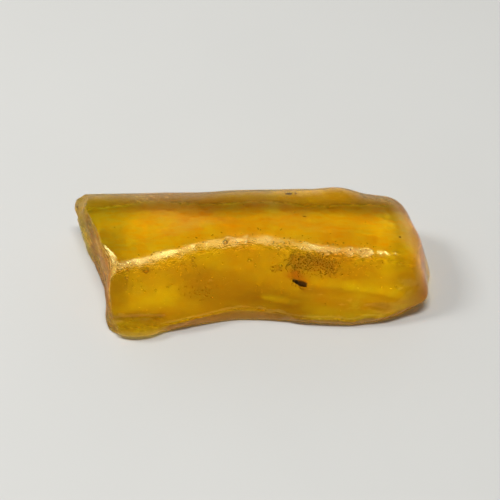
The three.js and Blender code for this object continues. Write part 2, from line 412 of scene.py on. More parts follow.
@dataclass(frozen=True)
class LumpMesher:
    """Spreads rings of points over the lump's form, with caps of smaller rings on its ends.

    The points crowd together round the turn where the sharp front arris is.
    """

    form: LumpForm
    crowding: float = 0.45
    arris_turn: float = math.radians(216)
    sides: int = 256
    body_rings: int = 300
    cap_rings: int = 14
    cap_crowding: float = 1.15
    spine: Pair = (2.0, 7.2)
    half_width: float = 13
    half_height: float = 7.2
    left_margin: float = 0.35
    right_margin: float = 1.6
    reach: float = 3
    halvings: int = 26

    def ring_x(self, t: np.ndarray, y: np.ndarray, z: np.ndarray) -> np.ndarray:
        """A ring's x across it: each ring has the shape of the ends, blended.

        Args:
            t: how far along the lump the ring is, from 0 to 1.
            y: places across it.
            z: their heights.

        Returns:
            One x a place.
        """
        left = self.form.end_x(self.form.left_end, y, z) + self.left_margin
        right = self.form.end_x(self.form.right_end, y, z) - self.right_margin
        return left + (right - left) * t

    def leave(
        self, path: Callable[[np.ndarray], np.ndarray], reach: float, count: int
    ) -> np.ndarray:
        """Finds where each of many paths leaves the lump.

        Args:
            path: gives the places on all paths for one number a path.
            reach: a number by which every path is outside.
            count: how many paths there are.

        Returns:
            The surface points, one a row.
        """
        inside, outside = np.zeros(count), np.full(count, float(reach))
        for _ in range(self.halvings):
            middle = (inside + outside) / 2
            within = self.form.outside(path(middle)) < 0
            inside = np.where(within, middle, inside)
            outside = np.where(within, outside, middle)
        return path(inside)

    def body(self) -> np.ndarray:
        """Finds the rings round the body.

        Returns:
            An array of ring, side and coordinate.
        """
        t = np.repeat(np.linspace(0, 1, self.body_rings + 1), self.sides)
        even = even_turns(self.sides)
        turn = np.tile(even - self.crowding * np.sin(even - self.arris_turn), self.body_rings + 1)
        wide, high = self.half_width * np.cos(turn), self.half_height * np.sin(turn)

        def path(s: np.ndarray) -> np.ndarray:
            """The place on each ring's ray."""
            y, z = self.spine[0] + s * wide, self.spine[1] + s * high
            return np.stack([self.ring_x(t, y, z), y, z], axis=1)

        return self.leave(path, self.reach, len(t)).reshape(-1, self.sides, 3)

    def cap(self, edge: np.ndarray, t: float) -> np.ndarray:
        """The smaller rings on one end, from its edge inwards, ending in one point.

        Args:
            edge: the body's last ring at that end.
            t: 0 for the left end, 1 for the right end.

        Returns:
            An array of points, one a row: the rings in turn, then the pole.
        """
        steps = np.arange(1, self.cap_rings + 1) / (self.cap_rings + 1)
        shares = 1 - steps**self.cap_crowding
        share = np.append(np.repeat(shares, self.sides), 0.0)[:, None]
        spots = np.vstack([np.tile(edge[:, 1:], (self.cap_rings, 1)), edge[:1, 1:]])
        y, z = (np.array(self.spine) + (spots - self.spine) * share).T
        way = 1 if t else -1

        def path(s: np.ndarray) -> np.ndarray:
            """The place straight out along X."""
            return np.stack([self.ring_x(t, y, z) + s * way, y, z], axis=1)

        return self.leave(path, self.half_width, len(y))

    def build(self) -> Shape:
        """Makes the closed mesh.

        Returns:
            The points in millimetres, and the faces as point numbers.
        """
        body = self.body()
        left, right = self.cap(body[0], 0), self.cap(body[-1], 1)
        left_rings = left[:-1].reshape(-1, self.sides, 3)[::-1]
        right_rings = right[:-1].reshape(-1, self.sides, 3)
        rings = np.concatenate([left_rings, body, right_rings])
        points = np.vstack([rings.reshape(-1, 3), left[-1:], right[-1:]])
        return points, stitched(len(rings), self.sides)


@dataclass(frozen=True)
class Trail:
    """A soft line near the skin: the places it goes through, and how far it reaches to each side."""

    places: tuple[Point, ...]
    width: float

    def share(self, points: np.ndarray) -> np.ndarray:
        """How much each point belongs to the line.

        Args:
            points: places, one a row.

        Returns:
            One share a point: 1 on the line, and 0 beyond its width.
        """
        distance = np.full(len(points), np.inf)
        for start, end in zip(self.places, self.places[1:] or self.places):
            along = np.subtract(end, start)
            length = along @ along or 1.0
            t = np.clip((points - start) @ along / length, 0, 1)
            away = np.linalg.norm(points - start - t[:, None] * along, axis=1)
            distance = np.minimum(distance, away)
        return ease(1 - distance / self.width)


CREST_LINE = Trail((
    (-26.2, -6.7, 13.2), (-20.4, -6.7, 12.3), (-13.5, -4.7, 12.7), (-10.2, -1.2, 14.3),
    (1.2, 0.3, 14.5), (12.3, -1.9, 14), (23.1, -2.7, 13.1),
), 6.0)


@dataclass(frozen=True)
class SurfaceRelief:
    """The fine shape of the skin: ripples, grain, pits, ribs, chips, grooves and a corner's facet."""

    drawn_out: Point = (0.45, 1, 1)
    ripple_depth: float = 0.05
    ripple_size: float = 2.6
    fine_ripple_size: float = 2.6 / 2.3
    grain_depth: float = 0.02
    grain_size: float = 0.75
    pit_depth: float = 0.07
    pit_radius: float = 0.42
    pit_spacing: float = 2.4
    chip_depth: float = 0.32
    chip_radius: float = 1.4
    chip_spacing: float = 2.4
    chip_reach: float = 1.6
    lip_depth: float = 0.2
    lip_width: float = 0.55
    lip_wave: float = 1.7
    lip_start: float = -21
    rib_depth: float = 0.28
    rib_size: float = 1.1
    rib_stretch: Point = (1, 0.3, 1)
    facet_way: Point = (-0.4, -0.33, 0.855)
    facet_reach: float = 23.9
    grooves: tuple[tuple[Trail, float], ...] = (
        (Trail(((-28.2, -12.4, 4.9), (-26.8, -12.3, 4.7), (-22, -11.9, 4.6),
                (-17.1, -11.5, 4)), 0.6), 0.15),
        (Trail(((-26.2, -6.7, 13.2), (-22.8, -5.4, 13.5)), 0.35), 0.06),
    )

    def depth(self, points: np.ndarray, normals: np.ndarray, form: LumpForm) -> np.ndarray:
        """How far each point is sunk below the form, in millimetres.

        Args:
            points: places on the form.
            normals: the way the form faces there.
            form: the lump's form, for where its arris is.

        Returns:
            One depth a point, none of them below zero.
        """
        drawn = points * self.drawn_out
        ripple = smooth_noise(drawn, self.ripple_size, Seed.RIPPLE) * 0.7
        ripple += smooth_noise(drawn, self.fine_ripple_size, Seed.FINE_RIPPLE) * 0.3
        sunk = self.ripple_depth * (1 + ripple)
        grain = self.grain_depth * (1 + CREST_LINE.share(points))
        sunk += grain * (1 + smooth_noise(points, self.grain_size, Seed.GRAIN))
        # The facet cuts off what lies beyond a plane, measured along the way the skin faces.
        beyond = np.clip(points @ self.facet_way - self.facet_reach, 0, 1)
        sunk += beyond / np.clip(normals @ self.facet_way, 0.35, 1)
        distance, chance = nearest_seed(points, self.pit_spacing, Seed.PITS)
        wide = self.pit_radius * (0.5 + chance)
        sunk += self.pit_depth * chance * np.clip(1 - (distance / wide) ** 2, 0, 1) ** 0.5
        ribs = 1 + smooth_noise(points * self.rib_stretch, self.rib_size, Seed.RIBS)
        sunk += self.rib_depth * ribs * left_break(normals)
        for groove, depth in self.grooves:
            sunk += depth * groove.share(points)
        return sunk + self.chips(points, normals, form)

    def chips(self, points: np.ndarray, normals: np.ndarray, form: LumpForm) -> np.ndarray:
        """The shell-shaped breaks along the sharp lower front edge, and the fine lip they leave.

        Args:
            points: places on the form.
            normals: the way the form faces there.
            form: the lump's form, for where its arris is.

        Returns:
            One depth a point.
        """
        x, y, z = points.T
        off = np.hypot(y - form.arris.at(x, 1), z - form.arris.at(x, 2))
        distance, chance = nearest_seed(points, self.chip_spacing, Seed.CHIPS)
        shell = np.clip(1 - (distance / (self.chip_radius * (0.6 + 0.6 * chance))) ** 2, 0, 1)
        chip = self.chip_depth * shell * np.clip(1 - off / self.chip_reach, 0, 1) * (chance > 0.35)
        above = ease((normals[:, 2] - 0.3) / 0.15) * ease((x - self.lip_start) / 4)
        uneven = 0.7 + 0.5 * smooth_noise(points, self.lip_wave, Seed.LIP)
        furrow = np.exp(-(((off - self.lip_width) / (0.45 * self.lip_width)) ** 2))
        return chip + self.lip_depth * uneven * above * furrow


def tinted(tint: np.ndarray, colour: Tint, share: np.ndarray) -> np.ndarray:
    """A tint moved towards a colour by each point's share."""
    part = share[:, None]
    return tint * (1 - part) + np.array(colour) * part


@dataclass(frozen=True)
class TintTrail(Trail):
    """A tinted trail in the skin, used for stains and for some painted shade and light: its colour, and
    how much of it there is at the middle.
    """

    colour: Tint
    strength: float

    def over(self, tint: np.ndarray, points: np.ndarray) -> np.ndarray:
        """The skin's tint with this trail's colour over it."""
        return tinted(tint, self.colour, self.strength * self.share(points))


@dataclass(frozen=True)
class SkinPaint:
    """The skin's tints, some of them painted shade and light, and how dull and how crazed it is from
    place to place.
    """

    clear: Tint = (1.0, 1.0, 0.9)
    cloudy: Tint = (0.95, 0.76, 0.3)
    cloud_size: float = 6.5
    cloud_stretch: Point = (0.4, 1, 1)
    drawn_out: Point = (0.5, 1, 1)
    ragged: float = 0.65
    shift_size: float = 2.2
    fine_shift_size: float = 0.8
    tint_trails: tuple[TintTrail, ...] = (
        # Orange and brown: the nose, the middle of the front slope, the top and the foot's crease.
        TintTrail(((32.3, 9, 10), (34, 1, 8), (34.6, -3, 6), (34.4, -5.5, 5)), 7.5,
              (0.46, 0.12, 0.02), 0.95),
        TintTrail(((-12, -6, 8.5), (-3.4, -6.3, 6.7), (2, -7.2, 5.7), (8, -8.5, 4)), 7.0,
              (0.38, 0.13, 0.03), 0.85),
        TintTrail(((-13, -7.4, 7.4), (-8.4, -7.4, 6.6)), 2.6, (0.4, 0.22, 0.06), 0.85),
        TintTrail(((-12, 6.1, 14.6), (-5.4, 4.4, 15), (0.6, 2.9, 15.1)), 4.5, (0.86, 0.58, 0.2), 0.7),
        TintTrail(((-10, 9, 14.5), (-2, 9.5, 15), (6, 9, 15)), 2.0, (0.8, 0.5, 0.2), 0.6),
        TintTrail(((-28, -12.5, 4.9), (-24, -12.2, 4.7), (-20, -11.7, 4.4), (-17.1, -11.5, 4)), 1.5,
              (0.3, 0.13, 0.03), 0.75),
        TintTrail(((16, -6, 10), (22, -6.5, 9), (27, -6, 8.5)), 2.2, (0.8, 0.5, 0.15), 0.6),
        TintTrail(((13, -8.6, 6), (20, -9, 5), (27, -9.3, 4)), 3.0, (0.76, 0.3, 0.05), 0.8),
        # The brown line along the flow ridge is painted shade, where the ridge's underside faces down;
        # then darker patches.
        TintTrail(((10.4, -7.2, 7.4), (15.3, -7.9, 7.7), (21.2, -8.1, 7.4), (26.1, -8.2, 6.3),
               (29.1, -8.3, 5.4)), 1.3, (0.4, 0.15, 0.03), 0.9),
        TintTrail(((24.6, -9, 4.4), (27, -9, 4.2)), 1.3, (0.42, 0.2, 0.04), 0.8),
        TintTrail(((7.1, -5.5, 9.6),), 0.7, (0.5, 0.08, 0.02), 0.85),
        TintTrail(((8, -5.2, 10.2), (9.4, -5.9, 9.0), (10.6, -6.2, 8.4)), 2.0, (0.6, 0.14, 0.02), 0.9),
        TintTrail(((8.4, -4.1, 12), (11.7, -4.2, 12.2), (15.2, -4.9, 11.7)), 2.4, (0.42, 0.26, 0.1), 0.7),
        TintTrail(((19, 11, 14.2), (23, 11.5, 13.8)), 1.0, (0.7, 0.4, 0.12), 0.6),
        TintTrail(((7.5, 12.1, 14.7),), 0.6, (0.12, 0.05, 0.02), 0.9),
        # Clear bright yellow, also along the crest, and painted light in a band over the flow line.
        TintTrail(((-26, -13, 2.2), (-22, -13.6, 1.8), (-18.5, -13, 1.8)), 1.8, (1, 0.95, 0.8), 0.9),
        TintTrail(((-8, -4, 11.4), (-2, -4.4, 10.6)), 1.8, (1, 1, 0.85), 0.9),
        TintTrail(((2.6, -8, 5.6), (9, -8.7, 5)), 1.3, (1, 0.95, 0.8), 0.8),
        TintTrail(((18.5, 7.5, 14.6), (24, 8.7, 14.1), (28.5, 5.8, 13.4), (30.1, -0.6, 13)), 3.0,
              (1, 0.97, 0.85), 0.8),
        # Painted light: the lit upper side of the flow ridge.
        TintTrail(((12.5, -6.6, 9.2), (18.2, -7.4, 8.4), (24.1, -7.7, 7.5), (28.7, -7.8, 6.4)), 1.3,
              (1, 1, 0.85), 1.0),
        TintTrail(((20.3, -9.1, 4.9),), 2.0, (1, 0.9, 0.7), 0.8),
        TintTrail(((-25.7, -10.5, 8.1), (-20, -11, 5.6)), 3.0, (1, 0.95, 0.85), 0.8),
        TintTrail(((-25, -1, 14), (-20, -3, 14), (-12, -3, 13.5), (-2, -2.6, 12.6), (4, -3, 12.5)), 3.2,
              (1, 0.97, 0.85), 0.8),
    )
    # Painted shade on the steep lower front flank, and where it starts along the lump.
    flank_shade: Tint = (0.34, 0.17, 0.06)
    flank_shade_start: float = -19
    # The broken left end's brown: partly its own tone, partly painted shade in darker streaks.
    end_tone_and_shade: Tint = (0.45, 0.17, 0.03)
    end_line_size: float = 0.8
    end_stretch: Point = (1, 0.2, 1)
    end_back: float = 9.5
    patch_size: float = 3.0
    glitter_size: float = 1.3
    left_rough: float = 0.18
    under_rough: float = 0.75
    dull_foot: Trail = Trail(((-27, -12, 4), (-18, -12, 3)), 3.0)
    glitters: tuple[Trail, ...] = (
        Trail(((-26.5, -6.7, 13.4), (-20.4, -6.2, 12.9), (-14, -4.8, 13.1)), 3.3),
        Trail(((-14, -4.0, 13.3), (-10.2, -1.8, 14.1), (1.2, -0.5, 14.3), (12.3, -2.6, 13.7),
               (23.1, -3.2, 12.9)), 2.2),
    )

    def tint(self, points: np.ndarray, normals: np.ndarray) -> np.ndarray:
        """The skin's tint at each point.

        Args:
            points: places on the skin.
            normals: the way the skin faces there.

        Returns:
            Red, green and blue, one row a point.
        """
        x, y, z = points.T
        drawn = points * self.drawn_out
        shift = [smooth_noise(drawn, self.shift_size, Seed.SHIFT + k) for k in range(3)]
        fine = [smooth_noise(drawn, self.fine_shift_size, Seed.FINE_SHIFT + k) for k in range(3)]
        warped = points + self.ragged * (np.stack(shift, axis=1) + 0.35 * np.stack(fine, axis=1))
        cloud = smooth_noise(points * self.cloud_stretch, self.cloud_size, Seed.CLOUD)
        cloud += 0.5 * smooth_noise(drawn, self.cloud_size / 3, Seed.FINE_CLOUD)
        tint = tinted(np.array(self.clear), self.cloudy, ease(0.5 + 0.9 * cloud))
        for tint_trail in self.tint_trails:
            tint = tint_trail.over(tint, warped)
        # Partly painted shade: the broken left end is tinted brown in darker streaks, as the shaded
        # steps of its ledges would darken it.
        noise = smooth_noise(points * self.end_stretch, self.end_line_size, Seed.END_LINES)
        lines = 0.6 + 0.38 * ease(0.4 + 1.5 * noise)
        end = left_break(normals) * ease((self.end_back - y) / 3)
        tint = tinted(tint, self.end_tone_and_shade, lines * end)
        # Painted shade: the steep lower flank under the arris, facing down and forward, is darkened as
        # if in shade.
        steep = ease((0.32 - normals[:, 2]) / 0.16) * ease((-normals[:, 1] - 0.3) / 0.3)
        along = ease((x - self.flank_shade_start) / 3) * ease((z + 0.3) / 0.5)
        return tinted(tint, self.flank_shade, steep * along)

    def wear(self, points: np.ndarray, normals: np.ndarray) -> np.ndarray:
        """How dull and how crazed the skin is.

        Args:
            points: places on the skin.
            normals: the way the skin faces there.

        Returns:
            The roughness, and the crazing and the glitter from 0 to 1, one row a point.
        """
        worn = smooth_noise(points * self.drawn_out, self.patch_size, Seed.WORN_PATCHES)
        patchy = 0.5 + 0.5 * worn
        left, under = left_break(normals), ease((-normals[:, 2] - 0.2) / 0.5)
        back, front = ease((normals[:, 1] - 0.4) / 0.4), ease((-normals[:, 1] - 0.93) / 0.06)
        crest = CREST_LINE.share(points)
        rough = 0.05 + 0.08 * patchy + 0.04 * crest + 0.4 * back + 0.12 * front
        rough += 0.05 * self.dull_foot.share(points) + 0.12 * ease((normals[:, 0] - 0.1) / 0.6)
        rough = rough * (1 - left) + self.left_rough * left
        rough = rough * (1 - under) + self.under_rough * under
        craze = np.clip(0.18 + 0.3 * patchy + 0.4 * crest + 0.5 * left + 0.2 * back, 0, 1)
        broken = 0.75 + 0.5 * smooth_noise(points, self.glitter_size, Seed.GLITTER)
        glitter = np.max([trail.share(points) for trail in self.glitters], axis=0) * broken
        return np.stack([rough, craze, np.clip(glitter, 0, 1)], axis=1)


class NodeSketch:
    """Small helpers that write a node tree in reading order."""

    def __init__(self, tree: bpy.types.NodeTree) -> None:
        """Starts on a tree."""
        self.tree = tree

    def node(self, kind: str, inputs: dict | None = None, **settings) -> bpy.types.Node:
        """Adds a node.

        Args:
            kind: the node's type, without its "ShaderNode" start.
            inputs: values or sockets by input name or number.
            **settings: the node's own settings.

        Returns:
            The node.
        """
        node = self.tree.nodes.new("ShaderNode" + kind)
        for name, value in settings.items():
            setattr(node, name, value)
        for name, value in (inputs or {}).items():
            self.feed(node.inputs[name], value)
        return node

    def feed(self, socket: Socket, value: Socketable) -> None:
        """Links a socket to another, or sets its value.

        Args:
            socket: the socket.
            value: what it gets.
        """
        if isinstance(value, Socket):
            self.tree.links.new(value, socket)
        else:
            socket.default_value = value

    def math(self, operation: str, *values: Socketable) -> Socket:
        """The result of a maths node."""
        return self.node("Math", dict(enumerate(values)), operation=operation).outputs[0]

    def place(self, stretch: Point = (1, 1, 1)) -> Socket:
        """The place in the object, in metres, stretched along its axes."""
        place = self.node("TexCoord").outputs["Object"]
        return self.node("VectorMath", {0: place, 1: stretch}, operation="MULTIPLY").outputs[0]

    def noise(self, place: Socket, size: float, detail: float = 3) -> Socket:
        """Soft noise with waves of a size in millimetres, as a value."""
        values = {"Vector": place, "Scale": 1 / (size * MM), "Detail": detail}
        return self.node("TexNoise", values).outputs["Fac"]

    def ramp(
        self, value: Socketable, low: float, high: float, start: float = 0, end: float = 1
    ) -> Socket:
        """A value spread smoothly from one range to another."""
        inputs = {"Value": value, "From Min": low, "From Max": high, "To Min": start, "To Max": end}
        return self.node("MapRange", inputs, interpolation_type="SMOOTHSTEP").outputs["Result"]

    def mix(
        self, share: Socketable, first: Socketable, second: Socketable, blend: str = "MIX"
    ) -> Socket:
        """Two colours mixed by a share."""
        inputs = {"Factor": share, 6: first, 7: second}
        return self.node("Mix", inputs, data_type="RGBA", blend_type=blend).outputs[2]

    def painted(self, name: str) -> Socket:
        """The colour that the mesh's points carry under a name."""
        return self.node("Attribute", attribute_name=name).outputs["Color"]

    def bump(self, height: Socket, strength: float, relief: float) -> Socket:
        """The way a skin faces that rises and falls with a height, its relief in millimetres."""
        values = {"Height": height, "Strength": strength, "Distance": relief * MM}
        return self.node("Bump", values).outputs["Normal"]


class FinishSketch(NodeSketch):
    """The node tree of a new material."""

    def __init__(self, name: str) -> None:
        """Starts a material with only its output node."""
        self.material = bpy.data.materials.new(name)
        self.material.use_nodes = True
        super().__init__(self.material.node_tree)
        self.tree.nodes.clear()
        self.output = self.node("OutputMaterial")

    def cover(self, inputs: dict[str, Socketable]) -> bpy.types.Material:
        """Gives the material its surface.

        Args:
            inputs: values or sockets by input name.

        Returns:
            The material.
        """
        surface = self.node("BsdfPrincipled", inputs)
        self.feed(self.output.inputs["Surface"], surface.outputs[0])
        return self.material


@dataclass(frozen=True)
class ResinFinish:
    """Clear golden resin: transmission and absorption, with a stained, finely grained skin."""

    refraction: float = 1.54
    gleam: Colour = (1.0, 0.96, 0.45, 1)
    absorbed: Colour = (1.0, 0.966, 0.0, 1)
    density: float = 400
    mottling: Colour = (0.98, 0.84, 0.5, 1)
    mottling_size: float = 0.9
    drawn_out: Point = (0.35, 1, 1)
    grain: float = 0.75
    fine_grain: float = 0.35
    glitter_height: float = 5.0
    relief: float = 0.03
    ledge: float = 0.7
    ledge_height: float = 11.0
    ledge_bend: float = 9.0

    def colour(self, sketch: NodeSketch) -> Socket:
        """The painted tint, broken up by fine drawn-out mottling.

        Args:
            sketch: the material's nodes so far.

        Returns:
            The colour.
        """
        noise = sketch.noise(sketch.place(self.drawn_out), self.mottling_size, 5)
        mottled = sketch.ramp(noise, 0.42, 0.66)
        return sketch.mix(mottled, sketch.painted(TINT), self.mottling, "MULTIPLY")

    def height(self, sketch: NodeSketch, wear: bpy.types.Node) -> Socket:
        """The grain of crazed skin, steeper grain where it glitters, and ledges on the left break.

        Args:
            sketch: the material's nodes so far.
            wear: the node that splits the painted wear.

        Returns:
            The height, in parts of the relief.
        """
        place = sketch.place()
        coarse, fine = sketch.noise(place, self.grain, 2), sketch.noise(place, self.fine_grain, 2)
        crazed = sketch.math("MULTIPLY", wear.outputs["Green"], sketch.math("ADD", coarse, fine))
        both = sketch.math("MULTIPLY_ADD", fine, 0.8, coarse)
        steep = sketch.math("MULTIPLY", both, self.glitter_height)
        grained = sketch.math("MULTIPLY_ADD", wear.outputs["Blue"], steep, crazed)
        facing = sketch.node("SeparateXYZ", {0: sketch.node("TexCoord").outputs["Normal"]})
        broken = sketch.ramp(facing.outputs["X"], -0.75, -0.5, self.ledge_height, 0.0)
        ledges = sketch.node("TexWave", {
            "Vector": place, "Scale": 0.1 * math.pi / (self.ledge * MM),
            "Distortion": self.ledge_bend, "Detail": 2.0, "Detail Scale": 0.4,
        }, bands_direction="Z", wave_profile="SAW")
        return sketch.math("SUBTRACT", grained, sketch.math("MULTIPLY", broken, ledges.outputs["Fac"]))

    def material(self) -> bpy.types.Material:
        """Builds the material.

        Returns:
            The material.
        """
        sketch = FinishSketch("clear_copal")
        wear = sketch.node("SeparateColor", {"Color": sketch.painted(WEAR)})
        bump = sketch.bump(self.height(sketch, wear), 1.0, self.relief)
        inside = sketch.node("VolumeAbsorption", {"Color": self.absorbed, "Density": self.density})
        sketch.feed(sketch.output.inputs["Volume"], inside.outputs[0])
        return sketch.cover({
            "Base Color": self.colour(sketch),
            "Roughness": wear.outputs["Red"],
            "Normal": bump,
            "IOR": self.refraction,
            "Specular Tint": self.gleam,
            "Transmission Weight": 1.0,
        })


@dataclass(frozen=True)
class ChitinFinish:
    """The insect's dark skin, paler where its wings are, with a dull gleam."""

    rough: float = 0.3
    spot: Colour = (0.5, 0.3, 0.2, 1)
    spot_size: float = 0.3
    grain: float = 0.1
    relief: float = 0.01

    def material(self) -> bpy.types.Material:
        """Builds the material.

        Returns:
            The material.
        """
        sketch = FinishSketch("insect_chitin")
        place = sketch.place()
        spots = sketch.ramp(sketch.noise(place, self.spot_size, 4), 0.35, 0.65, 0.0, 0.8)
        colour = sketch.mix(spots, sketch.painted(TINT), self.spot, "MULTIPLY")
        bump = sketch.bump(sketch.noise(place, self.grain, 3), 0.5, self.relief)
        return sketch.cover({"Base Color": colour, "Roughness": self.rough, "Normal": bump})


@dataclass(frozen=True)
class DustFinish:
    """Dark plant dust and bark, brown to black."""

    dark: Colour = (0.025, 0.012, 0.004, 1)
    brown: Colour = (0.16, 0.07, 0.015, 1)
    patch_size: float = 1.3
    rough: float = 0.6

    def material(self) -> bpy.types.Material:
        """Builds the material.

        Returns:
            The material.
        """
        sketch = FinishSketch("plant_dust")
        share = sketch.ramp(sketch.noise(sketch.place(), self.patch_size, 3), 0.4, 0.6)
        colour = sketch.mix(share, self.dark, self.brown)
        return sketch.cover({"Base Color": colour, "Roughness": self.rough})


@dataclass(frozen=True)
class FloorFinish:
    """A plain pale floor, with a painted pool of light under the lump for the light the resin gathers.
    """

    colour: Colour = (0.61, 0.61, 0.594, 1)
    mottled: Colour = (0.602, 0.602, 0.586, 1)
    # The painted pool of light: its colour, middle, half size and soft edge.
    light_pool: Colour = (0.94, 0.94, 0.92, 1)
    light_pool_middle: Pair = (1.5, 2.6)
    light_pool_half: Pair = (29, 12.6)
    light_pool_edge: float = 4
    mottling_size: float = 40
    rough: float = 0.75

    def material(self) -> bpy.types.Material:
        """Builds the material.

        Returns:
            The material.
        """
        sketch = FinishSketch("pale_floor")
        place = sketch.place()
        mottling = sketch.ramp(sketch.noise(place, self.mottling_size, 3), 0.3, 0.7)
        colour = sketch.mix(mottling, self.colour, self.mottled)
        # Painted pool of light: the floor is painted paler in a soft-edged box under the lump.
        split = sketch.node("SeparateXYZ", {0: place})
        shares = []
        for i, (middle, half) in enumerate(zip(self.light_pool_middle, self.light_pool_half)):
            away = sketch.math("ABSOLUTE", sketch.math("SUBTRACT", split.outputs[i], middle * MM))
            shares.append(sketch.ramp(away, (half - self.light_pool_edge) * MM, half * MM, 1, 0))
        colour = sketch.mix(sketch.math("MULTIPLY", *shares), colour, self.light_pool)
        return sketch.cover({"Base Color": colour, "Roughness": self.rough})


class MeshHeap:
    """Gathers closed shapes into one mesh."""

    def __init__(self) -> None:
        """Starts with nothing."""
        self.points: list[np.ndarray] = []
        self.faces: Faces = []
        self.count = 0

    def add(self, points: np.ndarray, faces: Faces, inward: bool = False) -> None:
        """Adds a shape.

        Args:
            points: its points.
            faces: its faces, which face outwards.
            inward: turns the faces over, for a hollow in another shape.
        """
        facing = [tuple(reversed(face)) for face in faces] if inward else faces
        self.faces += [tuple(corner + self.count for corner in face) for face in facing]
        self.points.append(np.asarray(points, float))
        self.count += len(points)

    def all_points(self) -> np.ndarray:
        """Every point, one a row."""
        return np.vstack(self.points)


def make_piece(
    name: str, points: np.ndarray, faces: Faces, material: bpy.types.Material
) -> bpy.types.Object:
    """Makes a smooth-shaded mesh object.

    Args:
        name: the piece's name.
        points: its points in metres.
        faces: its faces as point numbers.
        material: its finish.

    Returns:
        The object, in the scene.
    """
    mesh = bpy.data.meshes.new(name)
    mesh.from_pydata(points.tolist(), [], faces)
    mesh.materials.append(material)
    mesh.shade_smooth()
    piece = bpy.data.objects.new(name, mesh)
    bpy.context.scene.collection.objects.link(piece)
    return piece


def paint(piece: bpy.types.Object, name: str, colours: np.ndarray) -> None:
    """Gives a mesh's points a colour each.

    Args:
        piece: the mesh object.
        name: what the material calls the colours.
        colours: three numbers a point.
    """
    layer = piece.data.color_attributes.new(name=name, type="FLOAT_COLOR", domain="POINT")
    full = np.hstack([colours, np.ones((len(colours), 1))])
    layer.data.foreach_set("color", full.astype(np.float32).ravel())


def ball(rings: int, sides: int) -> Shape:
    """A round closed shape of radius 1, its poles on X.

    Args:
        rings: how many rings lie between the poles.
        sides: how many points a ring has.

    Returns:
        The points, and the faces as point numbers, facing outwards.
    """
    tilt = np.arange(1, rings + 1) * math.pi / (rings + 1)
    return turned(-np.cos(tilt), np.sin(tilt), (-1.0, 1.0), sides)


def turned(x: np.ndarray, radius: np.ndarray, poles: Pair, sides: int) -> Shape:
    """A closed shape turned about X.

    Args:
        x: where each ring stands.
        radius: each ring's radius.
        poles: where the shape closes before the first ring and after the last.
        sides: how many points a ring has.

    Returns:
        The points, and the faces as point numbers, facing outwards.
    """
    turn = even_turns(sides)
    y, z = np.outer(radius, np.cos(turn)).ravel(), np.outer(radius, np.sin(turn)).ravel()
    rings = np.stack([np.repeat(x, sides), y, z], axis=1)
    points = np.vstack([rings, [[poles[0], 0, 0], [poles[1], 0, 0]]])
    return points, stitched(len(x), sides)


def spun(points: np.ndarray, degrees: float) -> np.ndarray:
    """Points turned about Z.

    Args:
        points: places, one a row.
        degrees: how far, anticlockwise from above.

    Returns:
        The turned places.
    """
    c, s = math.cos(math.radians(degrees)), math.sin(math.radians(degrees))
    return points @ np.array([[c, s, 0], [-s, c, 0], [0, 0, 1]])


@dataclass(frozen=True)
class Bubble:
    """A round hollow just under the skin: the place over it, its radius and how deep it lies."""

    at: Point
    radius: float
    depth: float = 0.12


